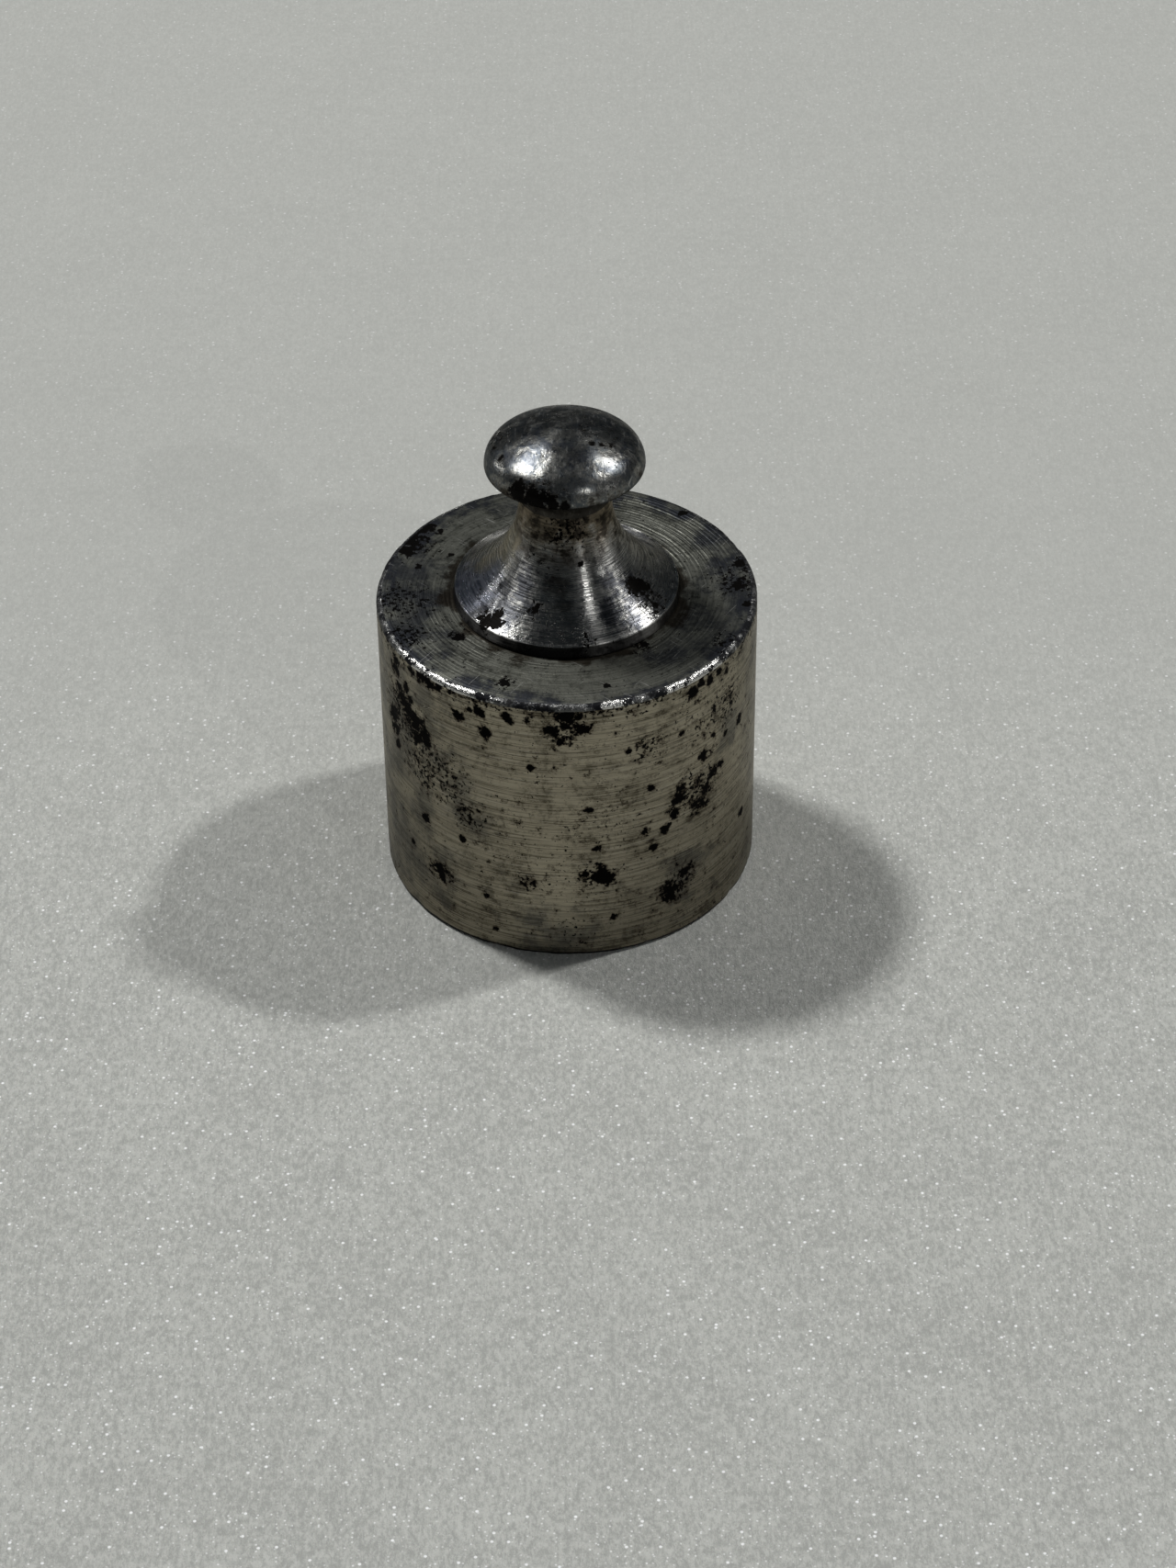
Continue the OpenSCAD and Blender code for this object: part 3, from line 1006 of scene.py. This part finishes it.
def make_knob(knob, screw, base):
    """The knob with its threaded stud, whose end has a shallow dish."""
    bm = bmesh.new()
    top = base - screw.relief
    bottom = base - screw.length
    stud = screw.radius - screw.gap
    relief = bore_radius(screw) - screw.gap
    thread(bm, relief - screw.gap, stud, screw.pitch, bottom, top, knob.steps // 2)
    keep_radius(
        bm, lambda radius, height: min(radius, relief + top - height, stud - screw.chamfer + height - bottom)
    )
    end = bmesh.ops.holes_fill(bm, edges=open_edges(bm, bottom), sides=0)["faces"]
    bmesh.ops.inset_region(bm, faces=end, thickness=screw.chamfer, depth=-0.2 * screw.chamfer)
    turn(bm, knob_outline(knob, screw, base), knob.steps)
    join_rims(bm, top, top + LAP)
    return bm


def dent_ball(bm, centre, radius, depth, seed):
    """One cast ball with flats where it was pressed, a faint seam and an uneven skin."""
    made = bmesh.ops.create_icosphere(bm, subdivisions=4, radius=radius)["verts"]
    skin = 0.3 * depth
    flats = [noise.random_unit_vector(size=3) for _ in range(5)]
    for vert in made:
        way = vert.co.normalized()
        pressed = max(max(0.0, way.dot(flat) * radius - (radius - depth)) for flat in flats)
        uneven = skin * noise.noise(way * 2.5 + Vector((seed, 0, 0)))
        seam = 0.125 * depth * math.exp(-((way.z / 0.04) ** 2))
        vert.co = way * (radius - skin - pressed + uneven + seam)
    turned = Matrix.Rotation(seed * 2.4, 3, (0.3, 1, 0.5))
    bmesh.ops.rotate(bm, verts=made, cent=(0, 0, 0), matrix=turned)
    bmesh.ops.translate(bm, verts=made, vec=centre)


# Seeds of the flats on all balls, and of the rings' first ball. The middle stack counts up from 0
FLAT_SEED = 7
RING_SEED = 10


def make_shot(body, screw, shot):
    """Rings of balls, each ring in the hollows of the one below, round a middle stack."""
    noise.seed_set(FLAT_SEED)
    ball = bore_radius(screw) / 3 - shot.gap
    step = 2 * ball + shot.gap
    half = screw.drill_angle / 2
    seat = body.floor + (ball + shot.gap) / math.sin(half)
    first_ring = seat + step / math.tan(half)
    ring_rise = math.sqrt(step ** 2 - (2 * step * math.sin(TURN / BALLS_IN_RING / 4)) ** 2)
    bm = bmesh.new()
    for core in range(shot.core):
        dent_ball(bm, Vector((0, 0, seat + core * step)), ball, shot.dent, core)
    for ring in range(shot.rings):
        for number in range(BALLS_IN_RING):
            around = (number + ring / 2) * TURN / BALLS_IN_RING
            centre = Vector((step * math.cos(around), step * math.sin(around), first_ring + ring * ring_rise))
            dent_ball(bm, centre, ball, shot.dent, RING_SEED + ring * BALLS_IN_RING + number)
    return bm


# Wear, in millimetres: its reach from an edge, the size of mark that sinks in, and how far
EDGE_REACH = 0.8
LARGE_MARK = 0.3
PIT_DEPTH = 0.03


def worn_depth(body):
    """Depth of the nicks round the body's edges and of its larger pits, for each place."""
    radius = body.radius / MM
    height = body.height / MM
    large = [(Vector((x, y, z)), size) for x, y, z, size in WALL_MARKS if size > LARGE_MARK]

    def depth(place):
        at = place / MM
        inwards = at.xy.length - radius
        if inwards < -EDGE_REACH:
            return 0.0
        corner = min(math.hypot(inwards, at.z - height), math.hypot(inwards, at.z))
        worn = 0.0
        if corner < EDGE_REACH:
            broad = max(0.0, noise.noise(at * 0.9) - 0.12) * 0.12
            small = max(0.0, noise.noise(at * 2.6) - 0.2) * 0.08
            worn = (1 - corner / EDGE_REACH) * (broad + small)
        for centre, size in large:
            if abs(centre.z - at.z) < size:
                inside = 1 - (centre - at).length / size
                worn = max(worn, PIT_DEPTH * min(1.0, 2 * inside))
        return worn * MM

    return depth


# Places of the plates in the lists of materials
SIDE, TOP, EDGE, BASE, BORE = range(5)
HEAD, FLARE, STUD = range(3)


def body_plate(body, screw):
    """Tells which plate a face of the body has, from the place of its middle."""
    mouth = screw.radius + body.mouth
    chamfer = body.top_rounding * 0.96
    wall = body.radius - 0.05 * MM

    def choose(face):
        centre = face.calc_center_median()
        radius = centre.xy.length
        if radius < mouth and centre.z > body.floor * 0.9:
            return BORE
        from_end = min(centre.z, body.height - centre.z)
        if from_end < chamfer and radius > body.radius - body.top_rounding:
            return EDGE
        if centre.z < body.base_rounding:
            return BASE
        return SIDE if radius > wall else TOP

    return choose


def knob_plate(knob, base):
    """Tells which plate a face of the knob has, from the height of its middle."""
    waist = KNOB_TOP.z - knob.crown - knob.lip_rounding - knob.head_radius + knob.neck_radius

    def choose(face):
        height = face.calc_center_median().z
        if height < base + 0.01 * MM:
            return STUD
        return HEAD if height > waist else FLARE

    return choose


class WEIGHT_OT_body(bpy.types.Operator):
    """Turns the body with its threaded cavity"""

    bl_idname = "scale_weight.body"
    bl_label = "Body"

    def execute(self, context):
        scene = context.scene
        body, screw, look = scene.weight_body, scene.weight_screw, scene.weight_plating
        bm = make_body(body, screw)
        weather(bm, worn_depth(body))
        plates = [side_plate(look), top_plate(look), edge_plate(look), base_plate(look), thread_brass(look)]
        choose = body_plate(body, screw)
        finish_piece(bm, "plated_body", "weight_body", "body", plates, choose)
        return {"FINISHED"}


class WEIGHT_OT_knob(bpy.types.Operator):
    """Turns the lifting knob with its threaded stud"""

    bl_idname = "scale_weight.knob"
    bl_label = "Lifting knob"

    def execute(self, context):
        scene = context.scene
        knob, look, base = scene.weight_knob, scene.weight_plating, scene.weight_body.height
        bm = make_knob(knob, scene.weight_screw, base)
        plates = [head_plate(look), flare_plate(look), thread_brass(look)]
        choose = knob_plate(knob, base)
        finish_piece(bm, "plated_knob", "lifting_knob", "knob", plates, choose)
        return {"FINISHED"}


class WEIGHT_OT_shot(bpy.types.Operator):
    """Heaps the lead shot in the body's cavity"""

    bl_idname = "scale_weight.shot"
    bl_label = "Adjusting shot"

    def execute(self, context):
        scene = context.scene
        bm = make_shot(scene.weight_body, scene.weight_screw, scene.weight_shot)
        lead = shot_lead(scene.weight_plating)
        finish_piece(bm, "lead_shot", "adjusting_shot", "body", [lead], sharp=60)
        return {"FINISHED"}


# Studio

# Where the camera stood, from a fit to the outlines in the photograph
CAMERA_PLACE = Vector((1.02, -167.3, 138.6)) * MM
SENSOR_WIDTH = 36

# Distance of the lamps and half the floor's side, in metres
LAMP_REACH = 1.0
FLOOR_REACH = 1.5


def hang_lamp(name, azimuth, height, width, power):
    """A round lamp that looks at the weight from an azimuth and an angle above the floor."""
    light = bpy.data.lights.new(name, "AREA")
    light.shape = "DISK"
    light.size = width
    light.energy = power
    lamp = bpy.data.objects.new(name, light)
    around = math.radians(azimuth)
    up = math.radians(height)
    way = Vector((math.cos(around) * math.cos(up), math.sin(around) * math.cos(up), math.sin(up)))
    aim = way.to_track_quat("Z", "Y").to_matrix().to_4x4()
    middle = Vector((0, 0, KNOB_TOP.z / 2))
    lamp.matrix_world = Matrix.Translation(middle + way * LAMP_REACH) @ aim
    bpy.context.scene.collection.objects.link(lamp)


def lay_floor(scene, paper):
    """A flat floor that isn't part of the weight."""
    bm = bmesh.new()
    bmesh.ops.create_grid(bm, x_segments=8, y_segments=8, size=FLOOR_REACH)
    mesh = bpy.data.meshes.new("floor")
    bm.to_mesh(mesh)
    bm.free()
    mesh.materials.append(paper)
    floor = bpy.data.objects.new("floor", mesh)
    scene.collection.objects.link(floor)


def set_up_camera(scene, studio):
    """The camera where it stood for the photograph."""
    camera = bpy.data.objects.new("camera", bpy.data.cameras.new("camera"))
    camera.data.lens = studio.lens
    camera.data.sensor_width = SENSOR_WIDTH
    camera.data.clip_start = 0.01
    tilt = Matrix.Rotation(math.pi / 2 - studio.tilt, 4, "X")
    roll = Matrix.Rotation(studio.roll, 4, "Z")
    camera.matrix_world = Matrix.Translation(CAMERA_PLACE) @ tilt @ roll
    scene.collection.objects.link(camera)
    scene.camera = camera


class WEIGHT_OT_stage(bpy.types.Operator):
    """Lays the floor, hangs the lamps and sets up the camera"""

    bl_idname = "scale_weight.stage"
    bl_label = "Stage"

    def execute(self, context):
        scene = context.scene
        studio = scene.weight_studio
        lay_floor(scene, floor_paper(studio))

        # Each lamp's azimuth and height are in degrees, and its width is in metres
        hang_lamp("left lamp", 143, 58, 0.13, studio.left_lamp)
        hang_lamp("right lamp", 21, 51, 0.07, studio.right_lamp)
        hang_lamp("front lamp", -57, 32, 0.015, studio.front_lamp)
        hang_lamp("low right lamp", -27, 15, 0.04, studio.low_right_lamp)
        hang_lamp("low left lamp", 158, 20, 0.025, studio.low_left_lamp)
        world = bpy.data.worlds.new("room")
        world.use_nodes = True
        world.node_tree.nodes["Background"].inputs["Color"].default_value = (*studio.room, 1)
        scene.world = world
        set_up_camera(scene, studio)
        scene.view_settings.view_transform = "Standard"
        return {"FINISHED"}


class WEIGHT_PT_panel(bpy.types.Panel):
    """Lists the makers of the weight's pieces and of its stage"""

    bl_idname = "WEIGHT_PT_panel"
    bl_label = "Scale Weight"
    bl_space_type = "VIEW_3D"
    bl_region_type = "UI"
    bl_category = "Scale Weight"

    def draw(self, context):
        for maker in MAKERS:
            self.layout.operator(maker.bl_idname)


MAKERS = (WEIGHT_OT_body, WEIGHT_OT_knob, WEIGHT_OT_shot, WEIGHT_OT_stage)
GROUPS = {
    "weight_body": BodySettings,
    "weight_knob": KnobSettings,
    "weight_screw": ScrewSettings,
    "weight_shot": ShotSettings,
    "weight_plating": PlatingSettings,
    "weight_studio": StudioSettings,
}


def register():
    for kind in (*GROUPS.values(), *MAKERS, WEIGHT_PT_panel):
        bpy.utils.register_class(kind)
    for name, kind in GROUPS.items():
        setattr(bpy.types.Scene, name, PointerProperty(type=kind))


def unregister():
    for name in GROUPS:
        delattr(bpy.types.Scene, name)
    for kind in reversed((*GROUPS.values(), *MAKERS, WEIGHT_PT_panel)):
        bpy.utils.unregister_class(kind)


def main():
    register()
    bpy.ops.scale_weight.body()
    bpy.ops.scale_weight.knob()
    bpy.ops.scale_weight.shot()
    bpy.ops.scale_weight.stage()


if __name__ == "__main__":
    main()
